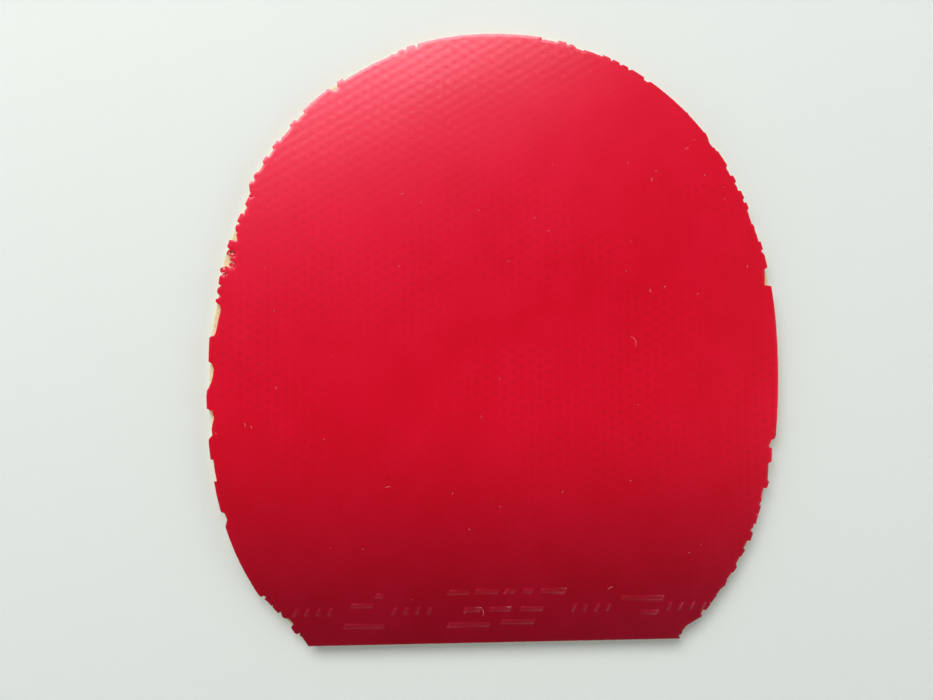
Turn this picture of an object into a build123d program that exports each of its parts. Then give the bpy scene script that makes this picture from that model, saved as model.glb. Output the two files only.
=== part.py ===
from build123d import *
import math
import os

# A used table tennis rubber: a moulded red topsheet with its pips turned inward, cemented to a
# sponge, and cut by hand to the outline of a racket head. It lies as it would on a table, with the
# hitting face up. X runs across the head, Y from the handle side to the crown, and Z up. The origin
# is on the table, under the middle of the head. Millimetres.

# Outline of the head, seen from above
HEAD_WIDTH = 150.0
HEAD_LENGTH = 160.0
CROWN_REACH = 87.5  # from the widest line to the crown
CROWN_EXPONENT = 2.12  # superellipse exponent of the outline above the widest line
SHOULDER_EXPONENT = 2.5  # and below it
HANDLE_EDGE_WIDTH = 96.0  # the straight cut across the handle side
CROWN_LEAN = 1.0  # how far the crown stands to the right of the widest line's middle

# Layers, from the hitting face down
SKIN_THICKNESS = 0.75
PIP_HEIGHT = 1.0
CEMENT_THICKNESS = 0.05
SPONGE_THICKNESS = 2.1
GLUE_THICKNESS = 0.05

# Pips: columns along Y, with every other column half a pitch further on
PIP_DIAMETER = 1.7
PIP_PITCH = 2.73
PIP_PHASE = (-0.13, 0.78)  # where the cut happened to leave one pip, from the head's middle

# Raised marks along the handle edge of the skin: slanted bars with no meaning
MARK_HEIGHT = 0.1
MARK_SLANT = 28.0  # degrees off Y
DASH_SIZE = (0.9, 1.8)
DASH_PITCH = 3.0
DASH_ROW_RISE = 8.5  # above the handle edge
DASH_GROUPS = [(-52.2, 4), (-26.8, 4), (19.5, 4), (44.4, 4)]  # first dash in X, number of dashes
BAR_DEPTH = 1.2
BARS = [  # middle in X, rise above the handle edge, length
    (-35.2, 10.0, 5.6),
    (-34.6, 4.8, 10.2),
    (-30.6, 12.4, 2.0),
    (-10.2, 13.0, 5.2),
    (-2.9, 13.0, 6.0),
    (3.0, 13.0, 2.4),
    (7.7, 13.0, 2.4),
    (14.3, 13.0, 6.6),
    (-6.8, 8.5, 4.2),
    (0.4, 8.5, 5.4),
    (8.6, 8.5, 6.0),
    (-7.6, 4.7, 10.8),
    (5.0, 5.2, 8.6),
    (37.4, 10.7, 11.2),
    (39.2, 7.0, 4.6),
]

# Damage along the rim. A place is a share of the way from the crown to the handle corner, and a
# bite's points are (distance on along the rim from that place, depth inside the cut line).
RIGHT, LEFT = 1, -1
WORN_BITES = [  # worn or cut away through every layer
    (RIGHT, 0.103, [(0, 0), (0.5, 0.8), (2.7, 0.9), (3.1, 0)]),
    (RIGHT, 0.313, [(0, 0), (1.5, 0.6), (3.6, 0.6), (5.0, 0)]),
    (RIGHT, 0.418, [(0, 0), (0.6, 0.6), (4.4, 0.8), (4.8, 0)]),
    (RIGHT, 0.712, [(0, 0), (1.0, 1.0), (3.0, 1.6), (3.3, 0.7), (6.8, 0.3), (7.4, 1.1), (12.0, 0.5)]),
    (RIGHT, 0.769, [(-0.5, 0), (8.6, 0.7), (16.6, 0.3), (18.4, 0)]),
    (RIGHT, 1.0, [(-33.0, 0), (-27.0, 0.9), (-25.0, 0.4), (-8.2, 0.4), (-3.6, 1.5), (-0.2, 0.8)]),
    (LEFT, 0.115, [(0, 0), (6.0, 0.35), (13.0, 0.3), (18.0, 0)]),
    (LEFT, 0.385, [(0, 0), (2.0, 1.3), (12.0, 1.0), (21.0, 0.6), (42.0, 0.4), (54.0, 0.3), (57.0, 0)]),
    (LEFT, 0.674, [(0, 0), (2.0, 0.6), (6.5, 0.5), (8.0, 0)]),
    (LEFT, 0.800, [(0, 0), (0.6, 0.8), (2.4, 1.0), (4.0, 0)]),
    (LEFT, 1.0, [(-18.4, 0), (-15.8, 0.8), (-7.4, 0.9), (-4.9, 0.5), (-2.9, 0.9), (-0.2, 0)]),
]
BARE_BITES = [  # torn out of the topsheet alone, with bare sponge left below
    (RIGHT, 0.201, [(0, 0), (0.4, 0.7), (1.6, 0.5), (2.2, 0)]),
    (RIGHT, 0.497, [(0, 0), (0.6, 1.0), (2.6, 1.3), (4.6, 1.8), (5.2, 0)]),
    (LEFT, 0.214, [(0, 0), (0.5, 1.3), (1.5, 1.7), (2.9, 0)]),
    (LEFT, 0.448, [(0, 0.6), (0.9, 2.5), (1.9, 2.8), (2.3, 0.6)]),
    (LEFT, 0.476, [(0, 0.6), (0.6, 2.4), (3.4, 2.7), (3.8, 0.6)]),
    (LEFT, 0.497, [(0, 0.6), (0.6, 2.6), (1.1, 2.7), (1.5, 0.6)]),
    (LEFT, 0.537, [(0, 0), (1.0, 2.2), (2.5, 2.7), (4.4, 2.4), (7.2, 2.2), (9.2, 1.8), (10.0, 0)]),
    (LEFT, 0.613, [(0, 0), (0.8, 1.5), (2.4, 1.9), (5.4, 1.4), (7.4, 0.4), (7.8, 0)]),
    (LEFT, 0.672, [(0, 0), (0.6, 1.5), (2.8, 1.7), (5.4, 1.0), (7.0, 1.1), (8.0, 0)]),
]
TORN_STRETCHES = [  # where the skin has torn back to its pips: side, from and to, depth of the tear
    (RIGHT, 0.060, 0.190, 0.5),
    (RIGHT, 0.350, 0.410, 0.6),
    (RIGHT, 0.440, 0.480, 0.5),
    (RIGHT, 0.775, 0.960, 1.2),
    (LEFT, 0.100, 0.205, 0.8),
    (LEFT, 0.270, 0.380, 0.7),
    (LEFT, 0.392, 0.535, 2.2),
    (LEFT, 0.735, 0.762, 0.7),
    (LEFT, 0.916, 0.985, 1.9),
]
TOOTH_RADIUS = 1.3  # skin that stays on a pip at a torn edge
STRANDED_PLACES = [(LEFT, 0.476), (LEFT, 0.487), (LEFT, 0.497)]  # where a pip stayed without its skin
STRANDED_CLEARANCE = 0.2  # bare ring round each of those pips

# Where the dried glue came away with the blade: middle, half size along X and Y, turn in degrees
PEELED_PATCHES = [((-38.0, 42.0), (13.0, 7.0), 35.0), ((44.0, -30.0), (9.0, 15.0), 20.0)]

CUT_CLEARANCE = 2.0  # how far a cutting shape reaches past the rim
RIM_POINTS = 9  # fitted points on each quarter of the outline
TOOTH_MARGIN = 0.5  # a pip keeps its skin if its centre is this far inside the head
TEAR_REACH = 4.0  # pips further inside the head than this are clear of every tear
PIP_CLEARANCE = 0.05  # a pip nearer than this to the rim counts as cut through
NEAR_CORNER = 0.999  # share of a shoulder's turn, just before the handle corner

# Heights of the layers
SPONGE_BOTTOM = GLUE_THICKNESS
SPONGE_TOP = SPONGE_BOTTOM + SPONGE_THICKNESS
PIP_TIPS = SPONGE_TOP + CEMENT_THICKNESS
SKIN_BOTTOM = PIP_TIPS + PIP_HEIGHT
SKIN_TOP = SKIN_BOTTOM + SKIN_THICKNESS

# Plan places that follow from the outline
CROWN_Y = HEAD_LENGTH / 2
HANDLE_EDGE_Y = -HEAD_LENGTH / 2
WIDEST_Y = CROWN_Y - CROWN_REACH
EDGE_WIDTH_SHARE = HANDLE_EDGE_WIDTH / HEAD_WIDTH
SHOULDER_REACH = (WIDEST_Y - HANDLE_EDGE_Y) / (
    1 - EDGE_WIDTH_SHARE**SHOULDER_EXPONENT
) ** (1 / SHOULDER_EXPONENT)

# Plan sizes that follow from the pips
PIP_COLUMN_SPACING = PIP_PITCH * math.sqrt(3) / 2
STRANDED_DEPTH = PIP_DIAMETER / 2 + PIP_PITCH / math.sqrt(3)  # the pip nearest to here is whole


def middle_line(y):
    """Where the head's middle is in X at one Y."""
    return CROWN_LEAN * (y - WIDEST_Y) / CROWN_REACH


def rim_quarter(side, reach, exponent, turn):
    """The outline's point at one turn of a superellipse quarter, from 0 at the widest line."""
    x = HEAD_WIDTH / 2 * math.cos(turn) ** (2 / exponent)
    y = WIDEST_Y + reach * math.sin(turn) ** (2 / exponent)
    return Vector(middle_line(y) + side * x, y)


def rim_flank(side):
    """One flank of the outline, from the crown to the handle corner."""
    last_turn = math.asin(
        ((WIDEST_Y - HANDLE_EDGE_Y) / SHOULDER_REACH) ** (SHOULDER_EXPONENT / 2)
    )
    shares = [step / RIM_POINTS for step in range(RIM_POINTS + 1)]
    points = [Vector(CROWN_LEAN, CROWN_Y)]
    for share in shares[1:]:
        turn = math.pi / 2 * (1 - share)
        points.append(rim_quarter(side, CROWN_REACH, CROWN_EXPONENT, turn))
    for share in shares[1:]:
        turn = last_turn * share
        points.append(rim_quarter(side, -SHOULDER_REACH, SHOULDER_EXPONENT, turn))
    before_corner = rim_quarter(side, -SHOULDER_REACH, SHOULDER_EXPONENT, last_turn * NEAR_CORNER)
    with BuildLine() as flank:
        Spline(*points, tangents=[(side, 0), points[-1] - before_corner])
    return flank.edge()


def at_rim(side, arc, depth):
    """The point that lies depth inside the outline, arc along one flank from the crown."""
    here = flanks[side].position_at(arc, position_mode=PositionMode.LENGTH)
    along = flanks[side].tangent_at(arc, position_mode=PositionMode.LENGTH)
    return here + Vector(along.Y, -along.X) * side * depth


def rim_piece(side, start, points):
    """The face from past the rim in to a line of points (distance on from start, depth)."""
    inner = [at_rim(side, start + along, depth) for along, depth in points]
    outer = [at_rim(side, start + along, -CUT_CLEARANCE) for along, depth in reversed(points)]
    with BuildLine() as loop:
        Polyline(*inner, *outer, close=True)
    return make_face(loop.edges(), mode=Mode.PRIVATE)


def bite(side, share, points):
    """The face of one bite."""
    return rim_piece(side, share * flanks[side].length, points)


def rim_strip(side, start_share, end_share, depth):
    """The face of a strip of one depth along the rim."""
    start = start_share * flanks[side].length
    run = end_share * flanks[side].length - start
    steps = math.ceil(run / PIP_PITCH)
    return rim_piece(side, start, [(run * step / steps, depth) for step in range(steps + 1)])


def pip_centre(column, place):
    """Where one pip of the hexagonal pattern stands."""
    x = PIP_PHASE[0] + column * PIP_COLUMN_SPACING
    y = PIP_PHASE[1] + (place + column % 2 / 2) * PIP_PITCH
    return (x, y)


def near_head(point, margin):
    """Whether a point is inside the head, or at most about a margin outside it."""
    across = abs(point[0] - middle_line(point[1])) / (HEAD_WIDTH / 2 + margin)
    if point[1] > WIDEST_Y:
        along = (point[1] - WIDEST_Y) / (CROWN_REACH + margin)
        return across**CROWN_EXPONENT + along**CROWN_EXPONENT < 1
    along = (WIDEST_Y - point[1]) / (SHOULDER_REACH + margin)
    above_edge = point[1] > HANDLE_EDGE_Y - margin
    return above_edge and across**SHOULDER_EXPONENT + along**SHOULDER_EXPONENT < 1


def slanted_bar(length, depth):
    """The face of a bar whose ends lean to the right."""
    lean = depth * math.tan(math.radians(MARK_SLANT))
    with BuildLine(Plane.XY) as loop:
        Polyline(
            (-(length + lean) / 2, -depth / 2),
            ((length - lean) / 2, -depth / 2),
            ((length + lean) / 2, depth / 2),
            (-(length - lean) / 2, depth / 2),
            close=True,
        )
    return make_face(loop.edges(), mode=Mode.PRIVATE)


flanks = {side: rim_flank(side) for side in (RIGHT, LEFT)}

# The pips under the whole head, apart from the whole ones that are well inside its rim
columns = math.ceil(HEAD_WIDTH / 2 / PIP_COLUMN_SPACING)
rows = math.ceil(HEAD_LENGTH / 2 / PIP_PITCH)
pip_centres = [
    pip_centre(column, place)
    for column in range(-columns, columns + 1)
    for place in range(-rows, rows + 1)
]
inner_pips = [centre for centre in pip_centres if near_head(centre, -TEAR_REACH)]
rim_pips = [
    centre
    for centre in pip_centres
    if near_head(centre, PIP_DIAMETER) and centre not in inner_pips
]

# The pips that stayed on the sponge without their skin
stranded_centres = []
for side, share in STRANDED_PLACES:
    place = at_rim(side, share * flanks[side].length, STRANDED_DEPTH)
    nearest = min(pip_centres, key=lambda centre: (Vector(*centre) - place).length)
    if nearest not in stranded_centres:
        stranded_centres.append(nearest)

# The head as it was cut
with BuildSketch() as head_plan:
    with BuildLine():
        add(flanks[RIGHT])
        add(flanks[LEFT])
        Line(flanks[LEFT] @ 1, flanks[RIGHT] @ 1)
    make_face()

# What wear has left of the sponge and of all below the pips
with BuildSketch() as sheet_plan:
    add(head_plan.sketch)
    for side, share, points in WORN_BITES:
        add(bite(side, share, points), mode=Mode.SUBTRACT)

# The torn stretches, and the skin that stays there on the pips
with BuildSketch() as torn_strips:
    for side, start_share, end_share, depth in TORN_STRETCHES:
        add(rim_strip(side, start_share, end_share, depth))

with BuildSketch() as teeth:
    with Locations(*[centre for centre in rim_pips if near_head(centre, -TOOTH_MARGIN)]):
        Circle(TOOTH_RADIUS)
    add(torn_strips.sketch, mode=Mode.INTERSECT)

# What wear has left of the topsheet
with BuildSketch() as topsheet_plan:
    add(sheet_plan.sketch)
    add(torn_strips.sketch, mode=Mode.SUBTRACT)
    add(teeth.sketch)
    add(sheet_plan.sketch, mode=Mode.INTERSECT)
    for side, share, points in BARE_BITES:
        add(bite(side, share, points), mode=Mode.SUBTRACT)
    with Locations(*stranded_centres):
        Circle(PIP_DIAMETER / 2 + STRANDED_CLEARANCE, mode=Mode.SUBTRACT)
skin_plan = topsheet_plan.faces().sort_by(SortBy.AREA)[-1]

# The raised marks, as far as the cut left them
with BuildSketch() as marks:
    for first_x, count in DASH_GROUPS:
        with Locations((first_x + (count - 1) * DASH_PITCH / 2, HANDLE_EDGE_Y + DASH_ROW_RISE)):
            with GridLocations(DASH_PITCH, 0, count, 1):
                add(slanted_bar(*DASH_SIZE))
    for middle_x, rise, length in BARS:
        with Locations((middle_x, HANDLE_EDGE_Y + rise)):
            add(slanted_bar(length, BAR_DEPTH))
    add(skin_plan, mode=Mode.INTERSECT)

# Pips at the rim are whole, or cut through, or gone with the skin that was torn away
cut_pips = [
    pip
    for pip in rim_pips
    if pip not in stranded_centres
    and min(wire.distance_to(Vertex(*pip)) for wire in skin_plan.wires())
    < PIP_DIAMETER / 2 + PIP_CLEARANCE
]
whole_pips = inner_pips + [
    pip for pip in rim_pips if pip not in cut_pips and skin_plan.is_inside(Vector(*pip))
]

# The skin, with its marks and with the pips that the rim has cut through
with BuildPart() as skin:
    with BuildSketch(Plane.XY.offset(SKIN_BOTTOM)):
        add(skin_plan)
    extrude(amount=SKIN_THICKNESS)
    with BuildSketch(Plane.XY.offset(SKIN_TOP)):
        add(marks.sketch)
    extrude(amount=MARK_HEIGHT)
    with BuildSketch(Plane.XY.offset(SKIN_BOTTOM)):
        with Locations(*cut_pips):
            Circle(PIP_DIAMETER / 2)
        add(skin_plan, mode=Mode.INTERSECT)
    extrude(amount=-PIP_HEIGHT)

# Topsheet: skin and pips come out of the mould as one. There are thousands of whole pips, so each
# one's wall and tip are sewn to a hole in the skin's underside, instead of fused to it one by one.
topsheet_faces = skin.faces().sort_by(Axis.Z)
underside = topsheet_faces.filter_by(Plane.XY).sort_by(SortBy.AREA)[-2:].sort_by(Axis.Z)[0]
topsheet_faces.remove(underside)
pip_roots = underside.inner_wires()
for x, y in whole_pips:
    pip = Solid.make_cylinder(PIP_DIAMETER / 2, PIP_HEIGHT, Plane((x, y, PIP_TIPS)))
    tip, wall, root = pip.faces().sort_by(Axis.Z)
    topsheet_faces += [tip, wall]
    pip_roots.append(root.outer_wire())
topsheet_faces.append(Face(underside.outer_wire(), pip_roots))
with BuildPart() as topsheet:
    add(Solid(Shell(topsheet_faces)))

# Pips that stayed on the sponge where the skin has gone from around them
with BuildPart() as stranded_pips:
    with BuildSketch(Plane.XY.offset(PIP_TIPS)):
        with Locations(*stranded_centres):
            Circle(PIP_DIAMETER / 2)
    extrude(amount=PIP_HEIGHT)

# Factory cement between the pips and the sponge
with BuildPart() as pip_cement:
    with BuildSketch(Plane.XY.offset(SPONGE_TOP)):
        add(sheet_plan.sketch)
    extrude(amount=CEMENT_THICKNESS)

# Sponge
with BuildPart() as sponge:
    with BuildSketch(Plane.XY.offset(SPONGE_BOTTOM)):
        add(sheet_plan.sketch)
    extrude(amount=SPONGE_THICKNESS)

# The dried glue that held the sheet to its blade, less what the blade kept
with BuildPart() as glue_film:
    with BuildSketch():
        add(sheet_plan.sketch)
        for middle, (half_x, half_y), turn in PEELED_PATCHES:
            with Locations(Location(middle, turn)):
                Ellipse(half_x, half_y, mode=Mode.SUBTRACT)
    extrude(amount=GLUE_THICKNESS)

os.makedirs("parts", exist_ok=True)
topsheet.part.label = "topsheet"
export_step(topsheet.part, "parts/topsheet.step")
stranded_pips.part.label = "stranded_pips"
export_step(stranded_pips.part, "parts/stranded_pips.step")
pip_cement.part.label = "pip_cement"
export_step(pip_cement.part, "parts/pip_cement.step")
sponge.part.label = "sponge"
export_step(sponge.part, "parts/sponge.step")
glue_film.part.label = "glue_film"
export_step(glue_film.part, "parts/glue_film.step")
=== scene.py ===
import math
import random

import bpy
import bmesh
import numpy as np
from mathutils import Matrix, Vector, geometry, kdtree, noise


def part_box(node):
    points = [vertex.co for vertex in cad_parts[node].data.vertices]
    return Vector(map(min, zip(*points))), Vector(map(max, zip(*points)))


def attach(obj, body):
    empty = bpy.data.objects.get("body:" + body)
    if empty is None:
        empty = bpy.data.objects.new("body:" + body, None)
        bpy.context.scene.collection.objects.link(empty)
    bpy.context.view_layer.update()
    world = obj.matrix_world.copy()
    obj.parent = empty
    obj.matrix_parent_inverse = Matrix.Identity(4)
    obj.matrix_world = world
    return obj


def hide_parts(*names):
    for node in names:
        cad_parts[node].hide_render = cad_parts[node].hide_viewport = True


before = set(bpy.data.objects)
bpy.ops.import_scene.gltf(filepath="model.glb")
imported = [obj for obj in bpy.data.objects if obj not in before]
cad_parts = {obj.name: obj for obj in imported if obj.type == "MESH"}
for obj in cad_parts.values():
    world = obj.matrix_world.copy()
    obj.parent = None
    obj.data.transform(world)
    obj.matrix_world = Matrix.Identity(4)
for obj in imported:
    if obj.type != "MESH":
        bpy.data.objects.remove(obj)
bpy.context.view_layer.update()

# A used table tennis rubber, lying on a pale table. Shapes are worked out in millimetres in the
# frame of the CAD model, and its outlines, layers and pips are read from that model's nodes.
MM = 0.001

# Reading the CAD model
POINTS_PER_MM = 1e4  # points that fall on the same place of this grid are one point
SAME_LEVEL = 1e-3  # a face this near to a height lies at it
FLAT_NORMAL = 0.99  # the vertical part of a flat face's normal
WHOLE_PIP = 0.06  # how far a whole pip's size may be from the usual one, as a share

# Meshing
RIM_GAP = 0.45  # free of grid points along a rim, as a share of the grid's step
POINT_MERGE = 1e-6
WELD_METRES = 2e-6
MEND_REACH = 14  # sides of a rim that are searched for a crossing with one side
MEND_TRIES = 12  # where a rippled rim would cross itself
MEND_SPREAD = 9  # points on which the ripple is lessened together
MEND_SHARE = 0.4  # of the ripple that each try leaves

# Depths in the noise, one for each use, so that no two are alike. Rings and pips add their number.
WAVE_LAYER = 1.0
RIM_FINE_LAYER, RIM_COARSE_LAYER = 3.0, 8.0
LEAN_LAYER, WALL_LAYER = 20.0, 30.0
TORN_TOP_LAYER = 40.0
SPONGE_DENT_LAYER = 50.0
FILM_EDGE_LAYER, PEEL_COARSE_LAYER, PEEL_FINE_LAYER, WRINKLE_LAYER = 60.0, 62.0, 63.0, 70.0

# Skin
RIM_STEP = 0.25  # between points along a rim
SKIN_GRID = 0.56  # between points inside it
SKIN_WALL_RINGS = 5
EDGE_ROUND = 0.05  # drop of the skin at its cut edge
EDGE_REACH = 0.28  # how far in the edge's rounding starts
CUT_RIPPLE = 0.035  # side to side, where a knife made the edge
TORN_RIPPLE = 0.13  # and where it tore
RIM_FINE_SIZE, RIM_COARSE_SIZE = 0.55, 1.7  # of those ripples
TORN_SLOPE = 0.22  # how far a torn wall leans out at its foot
WALL_RIPPLE, WALL_RIPPLE_SIZE = 0.03, 0.35
TORN_FROM, TORN_OVER = 0.12, 0.35  # bare sponge beside the skin that counts as torn
PRINT_DEPTH = 0.016  # dimple over each pip
WAVE_HEIGHT = 0.03
WAVE_SIZE = 17.0
MARK_BEVEL = 0.14  # width of a raised mark's sloping sides

# Pips
PIP_SIDES = 10  # in the middle of the sheet
RIM_PIP_SIDES = 22  # where they can be seen from the side
RIM_PIP_REACH = 5.0
ROOT_FLARE = 0.14  # extra radius and height of a rim pip's root
PIP_SINK = 0.02  # into the skin, so that the two close up
TORN_PIP_SIDES = 28
TORN_PIP_WALL = ((1.0, 0.0), (0.97, 0.35), (0.98, 0.75), (0.93, 0.93))  # shares of radius, height
TORN_PIP_RINGS = 4  # on its top, with the middle
TORN_TOP_RADIUS = 0.9  # share of the pip's
TORN_TOP_DROP, TORN_TOP_RIPPLE, TORN_MIDDLE_DROP = 0.12, 0.2, 0.1

# Sponge
SPONGE_STEP = 0.21
SPONGE_RINGS = 11
SPONGE_GRID = 1.1
CELL_SIZE = 0.42
CELL_DEPTH = 0.11
CELL_EDGE = 0.45  # how far from a cell's middle its hollow ends, as a share of its size
SPONGE_RIPPLE = 0.07
SPONGE_RIPPLE_SIZE = 2.5
DENT_DEPTH = 0.04

# Cement and dried glue
FILM_STEP = 0.35
FILM_GRID = 0.8
FILM_RIPPLE = 0.16
PEEL_RIPPLE = 2.2  # round the places where the glue came away
CEMENT_WRINKLE = 0.02
GLUE_WRINKLE = 0.018

# Camera, over the sheet and a little towards its handle side
CAMERA_PLACE = (-12.9, -11.5, 193.8)
CAMERA_TARGET = (-7.43, -4.2, 0.0)
CAMERA_UP = (0.0106, 0.9993, 0.0)
CAMERA_LENS = 28.0
CAMERA_SENSOR = 36.0
CAMERA_CLIP = 0.005  # metres


# ---- shapes of the CAD model ----


def flat_loops(node, height, facing):
    """Closed loops round a node's flat faces at one height, anticlockwise, longest first."""
    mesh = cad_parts[node].data
    points = np.empty(len(mesh.vertices) * 3)
    mesh.vertices.foreach_get("co", points)
    points = points.reshape(-1, 3) / MM
    mesh.calc_loop_triangles()
    triangles = np.empty(len(mesh.loop_triangles) * 3, dtype=np.int64)
    mesh.loop_triangles.foreach_get("vertices", triangles)
    places = np.round(points * POINTS_PER_MM).astype(np.int64)
    _, first, same = np.unique(places, axis=0, return_index=True, return_inverse=True)
    points = points[first]
    corners = same.reshape(-1)[triangles].reshape(-1, 3)
    level = np.abs(points[corners][:, :, 2] - height).max(axis=1) < SAME_LEVEL
    a, b, c = (points[corners[:, i]] for i in range(3))
    level &= np.cross(b - a, c - a)[:, 2] * facing > 0
    edges = corners[level][:, [0, 1, 1, 2, 2, 0]].reshape(-1, 2)
    there = edges[:, 0] * len(points) + edges[:, 1]
    back = edges[:, 1] * len(points) + edges[:, 0]
    following = {int(a): int(b) for a, b in edges[~np.isin(there, back)]}
    loops = []
    while following:
        start, here = following.popitem()
        loop = [start]
        while here is not None and here != start:
            loop.append(here)
            here = following.pop(here, None)
        loops.append(points[loop][::facing, :2])
    return sorted(loops, key=loop_length, reverse=True)


def loop_length(loop):
    """The length round a closed loop of points."""
    return float(np.hypot(*(np.roll(loop, -1, axis=0) - loop).T).sum())


def main_level(node, facing):
    """The height at which a node has most of its flat area, facing up (1) or down (-1)."""
    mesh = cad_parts[node].data
    areas = {}
    for face in mesh.polygons:
        if face.normal.z * facing > FLAT_NORMAL:
            height = round(face.center.z / MM, 3)
            areas[height] = areas.get(height, 0) + face.area
    return max(areas, key=areas.get)


# ---- lines and points in the plane ----


def resampled(loop, step):
    """A closed loop with evenly spaced points."""
    closed = np.vstack([loop, loop[:1]])
    along = np.concatenate([[0], np.cumsum(np.hypot(*np.diff(closed, axis=0).T))])
    count = round(along[-1] / step)
    places = np.arange(count) * along[-1] / count
    return np.stack([np.interp(places, along, closed[:, i]) for i in (0, 1)], axis=1)


def outward(loop):
    """Unit directions out of an anticlockwise loop, at its points."""
    along = np.roll(loop, -1, axis=0) - np.roll(loop, 1, axis=0)
    along /= np.maximum(np.hypot(*along.T), 1e-9)[:, None]
    return np.stack([along[:, 1], -along[:, 0]], axis=1)


def ripple(points, size, layer):
    """Smooth noise from -1 to 1 at points in the plane, for features of one size."""
    return np.array([noise.noise(Vector((x / size, y / size, layer))) for x, y in points])


def tree_of(points):
    """A search tree of points in the plane."""
    tree = kdtree.KDTree(len(points))
    for i, (x, y) in enumerate(points):
        tree.insert((x, y, 0), i)
    tree.balance()
    return tree


def distances(points, tree):
    """How far each point is from the nearest one in a tree."""
    return np.array([tree.find((x, y, 0))[2] for x, y in points])


def grid_inside(loops, step):
    """Points of a triangular grid that lie inside the first loop and outside the others."""
    starts = np.vstack(loops)
    ends = np.vstack([np.roll(loop, -1, axis=0) for loop in loops])
    rows = []
    row_step = step * math.sqrt(3) / 2
    low, high = starts.min(axis=0), starts.max(axis=0)
    for row, y in enumerate(np.arange(low[1] + row_step / 2, high[1], row_step)):
        crossed = (starts[:, 1] <= y) != (ends[:, 1] <= y)
        a, b = starts[crossed], ends[crossed]
        turns = np.sort(a[:, 0] + (y - a[:, 1]) / (b[:, 1] - a[:, 1]) * (b[:, 0] - a[:, 0]))
        columns = np.arange(low[0] + row % 2 * step / 2, high[0], step)
        columns = columns[np.searchsorted(turns, columns) % 2 == 1]
        rows.append(np.stack([columns, np.full(len(columns), y)], axis=1))
    points = np.vstack(rows)
    return points[distances(points, tree_of(starts)) > step * RIM_GAP]


def inside_convex(points, polygon):
    """Which points lie inside an anticlockwise convex polygon."""
    edge = np.roll(polygon, -1, axis=0) - polygon
    side = [
        edge[i, 0] * (points[:, 1] - polygon[i, 1]) - edge[i, 1] * (points[:, 0] - polygon[i, 0])
        for i in range(len(polygon))
    ]
    return np.min(side, axis=0) > 0


def circle(sides):
    """Evenly spaced directions all the way round, as unit vectors."""
    turns = np.arange(sides) / sides * 2 * math.pi
    return np.stack([np.cos(turns), np.sin(turns)], axis=1)


def grown(polygon, amount):
    """An anticlockwise convex polygon with each side moved out."""
    edge = np.roll(polygon, -1, axis=0) - polygon
    edge /= np.hypot(*edge.T)[:, None]
    out = np.stack([edge[:, 1], -edge[:, 0]], axis=1)
    before = np.roll(out, 1, axis=0)
    return polygon + amount * (out + before) / (1 + (out * before).sum(axis=1))[:, None]


def triangulated(loops, extra=(), holes=False):
    """Points and triangles inside the first loop, along any others, which may be holes."""
    points = np.vstack([*loops, extra]) if len(extra) else np.vstack(loops)
    edges, start = [], 0
    for loop in loops:
        count = len(loop)
        edges += [(start + i, start + (i + 1) % count) for i in range(count)]
        start += count
    corners = [Vector(p) for p in points]
    made = geometry.delaunay_2d_cdt(corners, edges, [], 1, POINT_MERGE, False)
    points, faces = np.array([tuple(p) for p in made[0]]), np.array(made[2])

    # The call also fills notches in the first loop, and holes: those triangles span one loop
    kept = np.ones(len(faces), dtype=bool)
    start = 0
    for loop in loops if holes else loops[:1]:
        spanning = ((faces >= start) & (faces < start + len(loop))).all(axis=1)
        inside = inside_loop(points[faces[spanning]].mean(axis=1), loop)
        kept[spanning] = inside if start == 0 else ~inside
        start += len(loop)
    return points, faces[kept]


def inside_loop(points, loop):
    """Which points lie inside a loop of any shape."""
    x, y = points.T
    inside = np.zeros(len(points), dtype=bool)
    for (ax, ay), (bx, by) in zip(loop, np.roll(loop, -1, axis=0)):
        if ay != by:
            inside ^= ((ay <= y) != (by <= y)) & (x < ax + (y - ay) / (by - ay) * (bx - ax))
    return inside


# ---- meshes ----


def band(a, b, count, flipped=False):
    """Faces between two rings of as many points each, which start at the indexes a and b."""
    faces = []
    for i in range(count):
        after = (i + 1) % count
        face = (a + i, b + i, b + after, a + after)
        faces.append(face[:1] + face[:0:-1] if flipped else face)
    return faces


def linked(name, data):
    """A new object in the scene."""
    made = bpy.data.objects.new(name, data)
    bpy.context.scene.collection.objects.link(made)
    return made


class Build:
    """Collects the points and faces of one mesh, in millimetres."""

    def __init__(self):
        self.points, self.faces, self.count = [], [], 0

    def add(self, points, faces):
        """Points, and faces that count them from 0."""
        self.points.append(np.asarray(points, dtype=float))
        self.faces += [tuple(int(i) + self.count for i in face) for face in faces]
        self.count += len(points)

    def wall(self, rings):
        """Faces between rings of as many points each."""
        count = len(rings[0])
        faces = []
        for ring in range(len(rings) - 1):
            faces += band(ring * count, (ring + 1) * count, count)
        self.add(np.vstack(rings), faces)

    def mesh(self, name):
        """The mesh as it was collected, in metres."""
        mesh = bpy.data.meshes.new(name)
        mesh.from_pydata((np.vstack(self.points) * MM).tolist(), [], self.faces)
        return mesh

    def object(self, name, material, sharp=38.0, weld=True):
        """The finished piece, riding on the root body. Edges above the sharp angle stay hard."""
        mesh = self.mesh(name)
        if weld:
            shape = bmesh.new()
            shape.from_mesh(mesh)
            bmesh.ops.remove_doubles(shape, verts=shape.verts, dist=WELD_METRES)
            bmesh.ops.recalc_face_normals(shape, faces=shape.faces)
            shape.to_mesh(mesh)
            shape.free()
        mesh.shade_smooth()
        mesh.set_sharp_from_angle(angle=math.radians(sharp))
        mesh.materials.append(material)
        made = linked(name, mesh)
        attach(made, "root")
        return made


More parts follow.
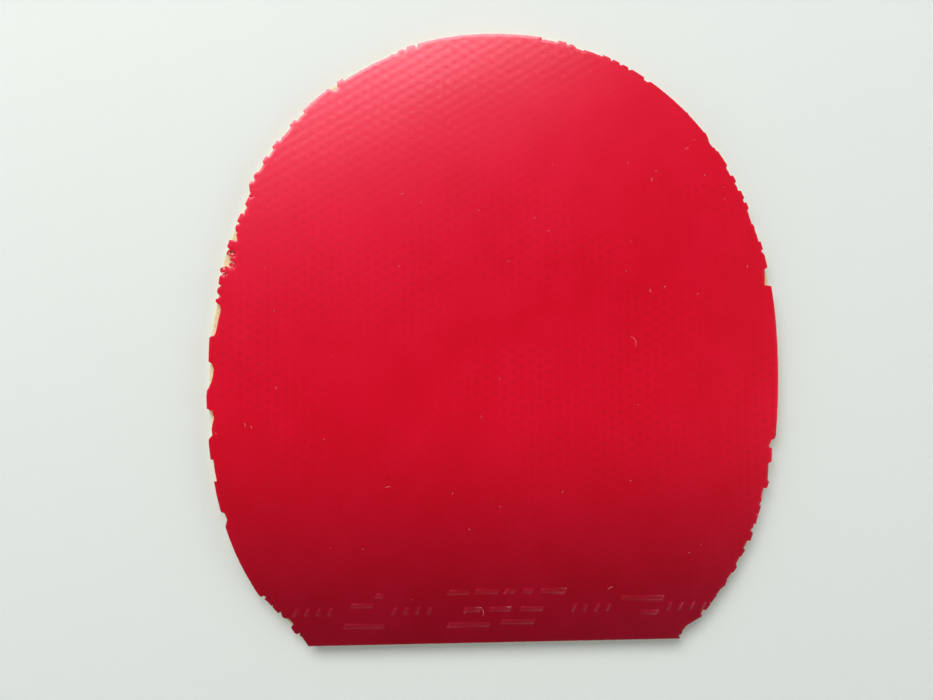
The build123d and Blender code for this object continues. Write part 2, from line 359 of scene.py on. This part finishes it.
def crossings(loop):
    """The points of a loop whose next side crosses one of the sides soon after or before it."""
    after = np.roll(loop, -1, axis=0)
    found = np.zeros(len(loop), dtype=bool)

    def side(a, b, c):
        return (b[:, 0] - a[:, 0]) * (c[:, 1] - a[:, 1]) > (b[:, 1] - a[:, 1]) * (c[:, 0] - a[:, 0])

    for step in range(2, MEND_REACH):
        c, d = np.roll(loop, -step, axis=0), np.roll(after, -step, axis=0)
        crossed = (side(loop, after, c) != side(loop, after, d)) & (
            side(c, d, loop) != side(c, d, after)
        )
        found |= crossed | np.roll(crossed, step)
    return found


def moved(loop, shift):
    """A loop with its points shifted, less wherever that would make it cross itself."""
    shift = shift.copy()
    for _ in range(MEND_TRIES):
        crossed = crossings(loop + shift)
        if not crossed.any():
            break
        near = np.convolve(np.tile(crossed, 3), np.ones(MEND_SPREAD), "same")
        shift[near[len(loop) : 2 * len(loop)] > 0] *= MEND_SHARE
    return loop + shift


def with_height(points, height):
    """Points in the plane, lifted to one height or to a height each."""
    return np.column_stack([points, np.broadcast_to(height, len(points))])


# ---- materials ----


class Shader:
    """A material of one Principled shader, with short ways to add nodes."""

    def __init__(self, name, **values):
        self.material = bpy.data.materials.new(name)
        self.material.use_nodes = True
        self.tree = self.material.node_tree
        self.main = self.tree.nodes["Principled BSDF"]
        for socket, value in values.items():
            self.main.inputs[socket.replace("_", " ")].default_value = value
        self.here = self.tree.nodes.new("ShaderNodeTexCoord").outputs["Object"]

    def node(self, kind, out=0, inputs=(), **settings):
        """Adds a node, and gives one of its outputs."""
        made = self.tree.nodes.new("ShaderNode" + kind)
        for name, value in settings.items():
            setattr(made, name, value)
        for key, value in dict(inputs).items():
            if isinstance(value, bpy.types.NodeSocket):
                self.tree.links.new(value, made.inputs[key])
            else:
                made.inputs[key].default_value = value
        return made.outputs[out]

    def math(self, operation, a, b=0.0):
        """The result of a sum on sockets or numbers."""
        return self.node("Math", 0, {0: a, 1: b}, operation=operation)

    def ramp(self, value, low, high, to_low=0.0, to_high=1.0):
        """A value from low to high, smoothly turned into one from to_low to to_high."""
        sockets = {"Value": value, "From Min": low, "From Max": high}
        sockets.update({"To Min": to_low, "To Max": to_high})
        return self.node("MapRange", 0, sockets, interpolation_type="SMOOTHSTEP")

    def mix(self, share, a, b):
        """The colour between two others."""
        return self.node("Mix", 2, {0: share, 6: a, 7: b}, data_type="RGBA")

    def cloud(self, size, detail=2.0, roughness=0.5, place=None):
        """Noise from 0 to 1 with features of a size in millimetres."""
        sockets = {"Vector": place or self.here, "Scale": 1 / (size * MM)}
        sockets.update({"Detail": detail, "Roughness": roughness})
        return self.node("TexNoise", 0, sockets)

    def stretched(self, x, y, turn):
        """The place on the object, drawn out along a slanting line."""
        sockets = {"Vector": self.here, "Scale": (1 / x, 1 / y, 1), "Rotation": (0, 0, turn)}
        return self.node("Mapping", 0, sockets)

    def bump(self, height, distance, strength):
        """Gives the shader a bump of a height in millimetres."""
        sockets = {"Height": height, "Distance": distance * MM, "Strength": strength}
        self.link(self.node("Bump", 0, sockets), "Normal")

    def link(self, output, socket):
        """Feeds one of the shader's own sockets."""
        self.tree.links.new(output, self.main.inputs[socket])


def lattice_waves(spacing, pitch):
    """The three wave vectors, per millimetre, whose sum peaks on a hexagonal pattern's points."""
    whole = 2 * math.pi
    return [
        (whole / spacing, 0.0),
        (-whole / (2 * spacing), whole / pitch),
        (-whole / (2 * spacing), -whole / pitch),
    ]


# The rubber's red, where it is fresh and worn, with darker dots over the pips, painted shade
# towards the handle edge and a painted highlight on the raised marks
RED, WORN_RED = (0.80, 0.0015, 0.011, 1), (0.87, 0.0035, 0.018, 1)
DOT_RED = (0.36, 0.001, 0.008, 1)
PAINTED_SHADE_RED = (0.16, 0.001, 0.006, 1)  # painted shade, darker towards the handle edge
MARK_HIGHLIGHT_RED = (0.42, 0.030, 0.040, 1)  # painted highlight, paler on the raised marks' tops
DOT_SHARE, MARK_HIGHLIGHT_SHARE, PAINTED_SHADE_SHARE = 0.15, 0.22, 0.86
PAINTED_SHADE_REACH = (-0.087, -0.015)  # metres along Y where the painted shade goes from full to none
DOT_FADE = (0.025, 0.060)  # and where the dots fade towards the crown


def red_rubber(name, phase, spacing, pitch, crest_low, crest_high):
    """Tacky red rubber, with the pips behind it showing through as darker dots, painted shade
    towards the handle edge and a painted highlight on the raised marks.
    """
    look = Shader(
        name,
        Roughness=0.42,
        Specular_IOR_Level=0.9,
        Specular_Tint=(1.0, 0.01, 0.20, 1.0),
        IOR=1.75,
        Coat_Weight=1.0,
        Coat_Roughness=0.2,
        Coat_IOR=1.75,
    )
    waves = []
    for x, y in lattice_waves(spacing, pitch):
        sockets = {0: look.here, 1: (x / MM, y / MM, 0)}
        turn = look.node("VectorMath", 1, sockets, operation="DOT_PRODUCT")
        turn = look.math("SUBTRACT", turn, x * phase[0] + y * phase[1])
        waves.append(look.math("COSINE", turn))
    dots = look.math("ADD", look.math("ADD", waves[0], waves[1]), waves[2])
    dots = look.ramp(dots, -0.6, 2.9)
    patches = look.ramp(look.cloud(26, 1.0), 0.35, 0.65, 0.35, 1.0)
    along = look.node("SeparateXYZ", 1, {0: look.here})
    patches = look.math("MULTIPLY", patches, look.ramp(along, *DOT_FADE, 1.0, 0.2))
    dots = look.math("MULTIPLY", dots, patches)

    worn = look.ramp(look.cloud(60, 3.0, 0.55), 0.3, 0.75)
    base = look.mix(worn, RED, WORN_RED)
    base = look.mix(look.math("MULTIPLY", dots, DOT_SHARE), base, DOT_RED)
    # Painted shade: the red darkens towards the handle edge
    base = look.mix(look.ramp(along, *PAINTED_SHADE_REACH, PAINTED_SHADE_SHARE, 0.0), base, PAINTED_SHADE_RED)
    # Painted highlight: the raised marks' tops are paler
    height = look.node("SeparateXYZ", 2, {0: look.here})
    base = look.mix(look.ramp(height, crest_low, crest_high, 0.0, MARK_HIGHLIGHT_SHARE), base, MARK_HIGHLIGHT_RED)
    look.link(base, "Base Color")

    scuffs = look.cloud(1.0, 2.0, 0.6, look.stretched(5.0, 0.5, 0.5))
    scuffs = look.math("MULTIPLY", look.ramp(scuffs, 0.62, 0.74), worn)
    grain = look.cloud(0.35, 3.0, 0.6)
    rough = look.ramp(look.cloud(9, 3.0), 0.3, 0.7, 0.36, 0.46)
    look.link(look.math("ADD", rough, look.math("MULTIPLY", scuffs, 0.14)), "Roughness")
    relief = look.math("ADD", look.math("MULTIPLY", grain, 0.6), look.math("MULTIPLY", scuffs, 0.5))
    look.bump(relief, 0.012, 0.5)
    return look.material


def foam(name):
    """Yellow sponge with fine open cells whose hollows hold painted shade, dirty at its edges."""
    look = Shader(name, Roughness=0.85, Specular_IOR_Level=0.25, Sheen_Weight=0.1)
    cells = look.node("TexVoronoi", 0, {"Vector": look.here, "Scale": 1 / (0.3 * MM)})
    pores = look.ramp(cells, 0.10, 0.45)
    tone = look.mix(look.cloud(6, 4.0), (0.86, 0.72, 0.30, 1), (0.93, 0.84, 0.46, 1))
    # Painted shade: the pores' hollows are darkened to brown
    hollow = look.math("MULTIPLY", look.ramp(pores, 1.0, 0.0), 0.7)
    base = look.mix(hollow, tone, (0.55, 0.38, 0.12, 1))
    dirt = look.ramp(look.cloud(2.2, 4.0, 0.6), 0.55, 0.75, 0.0, 0.5)
    base = look.mix(dirt, base, (0.62, 0.34, 0.12, 1))
    look.link(base, "Base Color")
    look.bump(pores, 0.12, 0.8)
    return look.material


def cement(name):
    """The thin amber cement on the sponge."""
    look = Shader(name, Roughness=0.4, Specular_IOR_Level=0.5, Coat_Weight=0.2)
    tone = look.mix(look.cloud(1.6, 4.0), (0.90, 0.74, 0.34, 1), (0.94, 0.88, 0.58, 1))
    red = look.ramp(look.cloud(1.1, 3.0, 0.6), 0.5, 0.72, 0.0, 0.55)
    look.link(look.mix(red, tone, (0.85, 0.25, 0.08, 1)), "Base Color")
    look.link(look.ramp(look.cloud(0.7), 0.3, 0.7, 0.3, 0.6), "Roughness")
    look.bump(look.cloud(0.4, 3.0), 0.05, 0.7)
    return look.material


def dried_glue(name):
    """Milky dried glue, yellowed in places."""
    look = Shader(name, Roughness=0.45, Specular_IOR_Level=0.5)
    tone = look.mix(look.cloud(11, 5.0, 0.6), (0.86, 0.80, 0.58, 1), (0.90, 0.88, 0.78, 1))
    streaks = look.cloud(1.2, 3.0, 0.5, look.stretched(7.0, 0.7, 0.2))
    streaks = look.ramp(streaks, 0.5, 0.8, 0.0, 0.5)
    look.link(look.mix(streaks, tone, (0.70, 0.56, 0.30, 1)), "Base Color")
    look.link(look.ramp(look.cloud(3, 3.0), 0.3, 0.7, 0.32, 0.6), "Roughness")
    look.bump(look.cloud(0.8, 4.0, 0.6), 0.06, 0.7)
    return look.material


def lint_fibre(name):
    """Pale lint."""
    look = Shader(name, Roughness=0.7, Sheen_Weight=0.4)
    tone = look.mix(look.cloud(3), (0.80, 0.16, 0.18, 1), (0.88, 0.42, 0.40, 1))
    look.link(tone, "Base Color")
    return look.material


# ---- the rubber's layers ----

pip_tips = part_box("topsheet")[0].z / MM
skin_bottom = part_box("stranded_pips")[1].z / MM
skin_top = main_level("topsheet", 1)
mark_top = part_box("topsheet")[1].z / MM
sponge_bottom, sponge_top = (corner.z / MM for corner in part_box("sponge"))

skin_loop = flat_loops("topsheet", skin_top, 1)[0]
mark_loops = flat_loops("topsheet", mark_top, 1)
pip_loops = flat_loops("topsheet", pip_tips, -1)
sponge_loop = flat_loops("sponge", sponge_top, 1)[0]
glue_loops = flat_loops("glue_film", 0.0, -1)
stranded_loops = flat_loops("stranded_pips", skin_bottom, 1)

# A whole pip's loop has the full width both ways, and a cut one's doesn't
pip_boxes = np.array([loop.max(axis=0) - loop.min(axis=0) for loop in pip_loops])
pip_width = float(np.median(pip_boxes))
whole = np.abs(pip_boxes - pip_width).max(axis=1) < WHOLE_PIP * pip_width
pip_centres = np.array(
    [(loop.max(axis=0) + loop.min(axis=0)) / 2 for loop, kept in zip(pip_loops, whole) if kept]
)
cut_loops = [loop for loop, kept in zip(pip_loops, whole) if not kept]

# The pattern's phase is the pip nearest to the middle, and its pitch the way to its neighbours
first_pip = pip_centres[np.argmin(np.hypot(*pip_centres.T))]
neighbour = np.sort(np.hypot(*(pip_centres - first_pip).T))[1:7]
pip_pitch = float(neighbour.mean())
column_spacing = pip_pitch * math.sqrt(3) / 2
waves = np.array(lattice_waves(column_spacing, pip_pitch))


def print_through(points):
    """From 0 to 1, how nearly each point is over a pip."""
    total = np.cos((points - first_pip) @ waves.T).sum(axis=1)  # -1.5 between pips, 3 on one
    return np.clip((total + 1.5) / 4.5, 0, 1) ** 2


def skin_piece(material):
    """The moulded skin, with its raised marks, dimples over the pips and a torn or cut rim."""
    rim = resampled(skin_loop, RIM_STEP)
    bare = distances(rim, tree_of(resampled(sponge_loop, RIM_STEP)))
    torn = np.clip((bare - TORN_FROM) / TORN_OVER, 0, 1)
    out = outward(rim)
    fine = ripple(rim, RIM_FINE_SIZE, RIM_FINE_LAYER)
    coarse = ripple(rim, RIM_COARSE_SIZE, RIM_COARSE_LAYER)
    wander = (CUT_RIPPLE + TORN_RIPPLE * torn) * (0.6 * fine + 0.7 * coarse)
    rim = moved(rim, out * wander[:, None])

    loops, raised = [rim], []
    grid = grid_inside([rim], SKIN_GRID)
    lift = np.zeros(len(grid))
    kept = np.ones(len(grid), dtype=bool)
    for loop in mark_loops:
        foot, crest = grown(loop, MARK_BEVEL / 2), grown(loop, -MARK_BEVEL / 2)
        on_top = inside_convex(grid, grown(crest, -MARK_BEVEL))
        kept &= on_top | ~inside_convex(grid, grown(foot, MARK_BEVEL))
        lift[on_top] = mark_top - skin_top
        loops += [foot, crest]
        raised += [np.zeros(len(foot)), np.full(len(crest), mark_top - skin_top)]
    grid, lift = grid[kept], lift[kept]
    points, faces = triangulated(loops, grid)

    rise = np.concatenate([np.zeros(len(rim)), *raised, lift])
    if len(points) != len(rise):
        raise ValueError("the skin's outline or marks cross")
    depth = distances(points, tree_of(rim))
    edge = np.clip(1 - depth / EDGE_REACH, 0, 1) ** 2 * EDGE_ROUND
    wave = WAVE_HEIGHT * (ripple(points, WAVE_SIZE, WAVE_LAYER) - 0.5)
    height = skin_top + wave + rise - edge - PRINT_DEPTH * print_through(points)
    made = Build()
    made.add(with_height(points, height), faces)

    rings = [with_height(rim, height[: len(rim)])]
    for ring in range(1, SKIN_WALL_RINGS):
        share = ring / (SKIN_WALL_RINGS - 1)
        lean = torn * TORN_SLOPE * share * (0.6 + 0.8 * ripple(rim, 0.8, LEAN_LAYER + ring))
        shift = lean + WALL_RIPPLE * ripple(rim, WALL_RIPPLE_SIZE, WALL_LAYER + ring)
        level = height[: len(rim)] * (1 - share) + skin_bottom * share
        rings.append(with_height(rim + out * shift[:, None], level))
    made.wall(rings)
    foot, under = triangulated([rings[-1][:, :2]])
    made.add(with_height(foot, skin_bottom), under)
    piece = made.object("skin", material, sharp=50.0)
    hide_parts("topsheet")
    return rim


def pip_at(made, centre, radius, sides, flare):
    """Adds one pip, from its tip up into the skin, with or without a flared root."""
    levels = [(radius, pip_tips)]
    if flare:
        levels.append((radius, skin_bottom - ROOT_FLARE))
        levels.append((radius + ROOT_FLARE, skin_bottom))
    levels.append((levels[-1][0], skin_bottom + PIP_SINK))
    ring = circle(sides)
    points = np.vstack([with_height(centre + ring * size, level) for size, level in levels])
    faces = [tuple(reversed(range(sides))), tuple(range(len(points) - sides, len(points)))]
    for level in range(len(levels) - 1):
        faces += band(level * sides, (level + 1) * sides, sides, flipped=True)
    made.add(points, faces)


def pip_piece(material, rim):
    """The pips on the skin's underside, whole in the middle and cut through at the rim."""
    made = Build()
    near = distances(pip_centres, tree_of(rim)) < RIM_PIP_REACH
    for centre, at_rim in zip(pip_centres, near):
        pip_at(made, centre, pip_width / 2, RIM_PIP_SIDES if at_rim else PIP_SIDES, at_rim)
    for loop in cut_loops:
        count = len(loop)
        if count < 3:
            continue
        faces = [tuple(reversed(range(count))), tuple(range(count, 2 * count))]
        faces += band(0, count, count, flipped=True)
        levels = [with_height(loop, pip_tips), with_height(loop, skin_bottom + PIP_SINK)]
        made.add(np.vstack(levels), faces)
    piece = made.object("pips", material, weld=False)
    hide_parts("topsheet")


def stranded_piece(material):
    """Pips that the skin was torn from, with ragged tops."""
    made = Build()
    sides, ring = TORN_PIP_SIDES, circle(TORN_PIP_SIDES)
    for index, loop in enumerate(stranded_loops):
        centre = (loop.max(axis=0) + loop.min(axis=0)) / 2
        levels = []
        for radius, level in TORN_PIP_WALL:
            here = centre + ring * (radius * pip_width / 2)
            levels.append(with_height(here, pip_tips + level * (skin_bottom - pip_tips)))
        for step in range(1, TORN_PIP_RINGS):
            here = centre + ring * (TORN_TOP_RADIUS * pip_width / 2 * (1 - step / TORN_PIP_RINGS))
            uneven = TORN_TOP_RIPPLE * ripple(here, 0.5, TORN_TOP_LAYER + index)
            levels.append(with_height(here, skin_bottom - TORN_TOP_DROP + uneven))
        first = made.count
        made.wall(levels)
        middle, last = made.count, made.count - sides
        fan = [(last + i, middle, last + (i + 1) % sides) for i in range(sides)]
        made.points.append(with_height(centre[None, :], skin_bottom - TORN_MIDDLE_DROP))
        made.faces += [*fan, tuple(first + i for i in reversed(range(sides)))]
        made.count += 1
    piece = made.object("torn_pips", material)
    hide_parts("stranded_pips")


def sponge_piece(material):
    """The sponge, with open cells on its cut wall."""
    rim = resampled(sponge_loop, SPONGE_STEP)
    out = outward(rim)
    rings = []
    for ring in range(SPONGE_RINGS):
        share = ring / (SPONGE_RINGS - 1)
        level = sponge_top + share * (sponge_bottom - sponge_top)
        places = [Vector((x / CELL_SIZE, y / CELL_SIZE, level / CELL_SIZE)) for x, y in rim]
        cells = np.array([noise.voronoi(place)[0][0] for place in places])
        hollow = CELL_DEPTH * (1 - np.clip(cells / CELL_EDGE, 0, 1))
        bulge = SPONGE_RIPPLE * ripple(rim, SPONGE_RIPPLE_SIZE, level / SPONGE_RIPPLE_SIZE)
        rings.append(with_height(rim + out * (bulge - hollow)[:, None], level))
    made = Build()
    made.wall(rings)
    for ring, level, facing in ((rings[0], sponge_top, 1), (rings[-1], sponge_bottom, -1)):
        edge = ring[:, :2]
        points, faces = triangulated([edge], grid_inside([edge], SPONGE_GRID))
        depth = np.clip(distances(points, tree_of(edge)) / 0.3, 0, 1)
        dents = DENT_DEPTH * depth * (ripple(points, 0.7, SPONGE_DENT_LAYER) - 0.5)
        made.add(with_height(points, level + facing * dents), faces)
    piece = made.object("foam_sponge", material)
    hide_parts("sponge")


def film_piece(name, node, loops, levels, wrinkles, material):
    """A thin layer with a wandering edge. Its lower and upper face each have a wrinkle height."""
    edges = []
    for loop in loops:
        edge = resampled(loop, FILM_STEP)
        shift = FILM_RIPPLE * (np.abs(ripple(edge, 1.1, FILM_EDGE_LAYER)) + 0.15)
        if loop is not loops[0]:
            coarse, fine = ripple(edge, 6.0, PEEL_COARSE_LAYER), ripple(edge, 1.8, PEEL_FINE_LAYER)
            shift += PEEL_RIPPLE * (0.7 * coarse + 0.4 * fine)
        edges.append(moved(edge, -outward(edge) * shift[:, None]))
    points, faces = triangulated(edges, grid_inside(edges, FILM_GRID), holes=True)
    made = Build()
    inner = np.clip(distances(points, tree_of(np.vstack(edges))) / 0.5, 0, 1)
    uneven = np.clip(0.5 + ripple(points, 1.6, WRINKLE_LAYER), 0, 1)
    (low, high), (lower, upper) = levels, wrinkles
    made.add(with_height(points, high - upper * inner * uneven), faces)
    made.add(with_height(points, low + lower * inner * uneven), faces)
    for edge in edges:
        made.wall([with_height(edge, high), with_height(edge, low)])
    piece = made.object(name, material)
    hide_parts(node)


# Lint that the tacky skin has picked up: place, length and direction in degrees
LINT = [
    ((37.7, -2.5), 3.6, 62),
    ((51.9, 49.0), 1.1, 40),
    ((53.9, 51.4), 0.6, 60),
    ((56.3, 41.7), 0.8, 95),
    ((61.7, 35.4), 0.5, 20),
    ((42.1, 40.5), 1.2, 125),
    ((67.5, 17.2), 0.8, 70),
    ((41.1, 10.8), 1.0, 140),
    ((45.0, 11.9), 0.8, 100),
    ((36.0, 45.1), 0.6, 80),
    ((-4.0, 32.5), 0.6, 30),
    ((11.0, 30.3), 0.6, 10),
    ((14.4, 27.1), 0.9, 50),
    ((3.8, 18.9), 0.7, 0),
    ((36.5, 24.0), 0.5, 0),
    ((-57.5, 6.4), 0.7, 80),
    ((-64.8, -23.3), 1.3, 45),
    ((-63.4, -23.8), 0.7, 120),
    ((-72.5, -25.2), 0.8, 0),
    ((-28.4, -39.6), 1.5, 20),
    ((-24.2, 37.1), 1.0, 70),
    ((17.1, -41.6), 1.0, 50),
    ((29.0, -66.5), 1.6, 55),
    ((-3.6, -72.3), 2.0, 58),
    ((-8.5, -72.2), 0.9, 40),
]
LINT_RADIUS = 0.045
LINT_STEPS, LINT_SIDES = 6, 5
LINT_CURL = 0.35  # radians at each step, at most
LINT_SEED = 4
LINT_EXTRA = 26  # small fibres, scattered
LINT_EXTRA_LENGTH = (0.25, 0.8)
LINT_SPREAD = (66, 70)  # half the width and half the length that they are scattered over


def lint_piece(material, rim):
    """Short curled fibres that lie on the skin."""
    chance = random.Random(LINT_SEED)
    places = list(LINT)
    for _ in range(LINT_EXTRA):
        x, y = (chance.uniform(-half, half) for half in LINT_SPREAD)
        if inside_loop(np.array([[x, y]]), rim)[0]:
            places.append(((x, y), chance.uniform(*LINT_EXTRA_LENGTH), chance.uniform(0, 180)))
    made = Build()
    across, above = circle(LINT_SIDES).T
    for (x, y), length, turn in places:
        heading = math.radians(turn)
        curl = chance.uniform(-LINT_CURL, LINT_CURL)
        here = np.array([x, y]) - np.array([math.cos(heading), math.sin(heading)]) * length / 2
        rings = []
        for step in range(LINT_STEPS + 1):
            radius = LINT_RADIUS * (0.45 + 0.55 * math.sin(math.pi * step / LINT_STEPS))
            side = np.array([-math.sin(heading), math.cos(heading)])
            lift = skin_top + radius * 0.6 + 0.05 * abs(math.sin(step * 1.3 + x))
            flat = here + np.outer(across * radius, side)
            rings.append(np.column_stack([flat, lift + above * radius]))
            ahead = np.array([math.cos(heading), math.sin(heading)])
            here = here + ahead * length / LINT_STEPS
            heading += curl
        first = made.count
        made.wall(rings)
        made.faces.append(tuple(first + i for i in range(LINT_SIDES)))
        made.faces.append(tuple(made.count - 1 - i for i in range(LINT_SIDES)))
    made.object("lint", material)


# ---- table, light and camera ----

TABLE_FLAT = 900.0  # radius of the flat table
TABLE_END = 1700.0  # and of its upturned edge, which closes the view from the side
TABLE_RISE = 900.0
TABLE_SIDES = 96
TABLE_RINGS = 16

# Name, place, size and power in metres and watts, and colour. All aim at the sheet's middle.
LIGHTS = [
    ("window", (-0.24, 0.73, 0.83), (0.90, 0.60), 9.2, (1.0, 1.0, 0.985)),
    ("window_side", (-0.52, 0.66, 0.60), (0.55, 0.50), 1.6, (1.0, 1.0, 0.985)),
    ("wall_left", (-0.95, -0.05, 0.55), (0.7, 0.7), 1.5, (0.97, 1.0, 1.0)),
    ("wall_right", (0.95, -0.10, 0.50), (0.7, 0.7), 2.7, (0.95, 1.0, 1.0)),
]
ROOM_COLOUR = (0.95, 1.0, 1.0, 1)
ROOM_FADE = {"From Min": 0.45, "From Max": 0.9, "To Min": 0.45, "To Max": 0.02}


def table():
    """A pale table that turns up far away."""
    shape, ring = Build(), circle(TABLE_SIDES)
    rings = [with_height(ring * TABLE_FLAT, 0.0)]
    for step in range(1, TABLE_RINGS + 1):
        angle = step / TABLE_RINGS * math.pi / 2
        radius = TABLE_FLAT + (TABLE_END - TABLE_FLAT) * math.sin(angle)
        rings.append(with_height(ring * radius, TABLE_RISE * (1 - math.cos(angle))))
    shape.wall(rings)
    shape.faces.append(tuple(range(TABLE_SIDES)))
    look = Shader("table", Roughness=0.6, Specular_IOR_Level=0.2)
    tone = look.mix(look.cloud(260, 2.0), (0.835, 0.865, 0.835, 1), (0.85, 0.875, 0.845, 1))
    look.link(tone, "Base Color")
    mesh = shape.mesh("table")
    mesh.shade_smooth()
    mesh.materials.append(look.material)
    made = linked("table", mesh)


def lights():
    """A wide window beyond the crown, on the left, and a dim room that is darker overhead."""
    for name, place, size, power, colour in LIGHTS:
        light = bpy.data.lights.new(name, "AREA")
        light.shape = "RECTANGLE"
        light.size, light.size_y = size
        light.energy = power
        light.color = colour
        made = linked(name, light)
        made.location = place
        made.rotation_euler = (-Vector(place)).to_track_quat("-Z", "Y").to_euler()
    world = bpy.data.worlds.new("room")
    world.use_nodes = True
    nodes, links = world.node_tree.nodes, world.node_tree.links
    height = nodes.new("ShaderNodeSeparateXYZ")
    links.new(nodes.new("ShaderNodeTexCoord").outputs["Generated"], height.inputs[0])
    fade = nodes.new("ShaderNodeMapRange")
    links.new(height.outputs["Z"], fade.inputs["Value"])
    for name, value in ROOM_FADE.items():
        fade.inputs[name].default_value = value
    shade = nodes["Background"].inputs
    shade["Color"].default_value = ROOM_COLOUR
    links.new(fade.outputs[0], shade["Strength"])
    bpy.context.scene.world = world


def camera():
    """The camera that looks down on the sheet."""
    made = linked("camera", bpy.data.cameras.new("camera"))
    place, target = Vector(CAMERA_PLACE) * MM, Vector(CAMERA_TARGET) * MM
    back = (place - target).normalized()
    right = Vector(CAMERA_UP).cross(back).normalized()
    up = back.cross(right)
    turned = Matrix((right, up, back)).transposed()
    made.matrix_world = Matrix.Translation(place) @ turned.to_4x4()
    made.data.lens = CAMERA_LENS
    made.data.sensor_width = CAMERA_SENSOR
    made.data.clip_start = CAMERA_CLIP
    bpy.context.scene.camera = made


# The painted highlight on the marks runs from just above the skin to just below their tops
crest_low, crest_high = (skin_top + 0.05) * MM, (mark_top - 0.01) * MM
rubber = red_rubber("red_rubber", first_pip, column_spacing, pip_pitch, crest_low, crest_high)
skin_rim = skin_piece(rubber)
pip_piece(rubber, skin_rim)
stranded_piece(rubber)
sponge_piece(foam("sponge"))
film_piece(
    "cement_film", "pip_cement", [sponge_loop],
    (sponge_top, pip_tips), (0.0, CEMENT_WRINKLE), cement("cement"),
)
film_piece(
    "glue_skin", "glue_film", glue_loops,
    (0.0, sponge_bottom), (GLUE_WRINKLE, 0.0), dried_glue("dried_glue"),
)
lint_piece(lint_fibre("lint"), skin_rim)
table()
lights()
camera()
bpy.context.scene.view_settings.view_transform = "Standard"
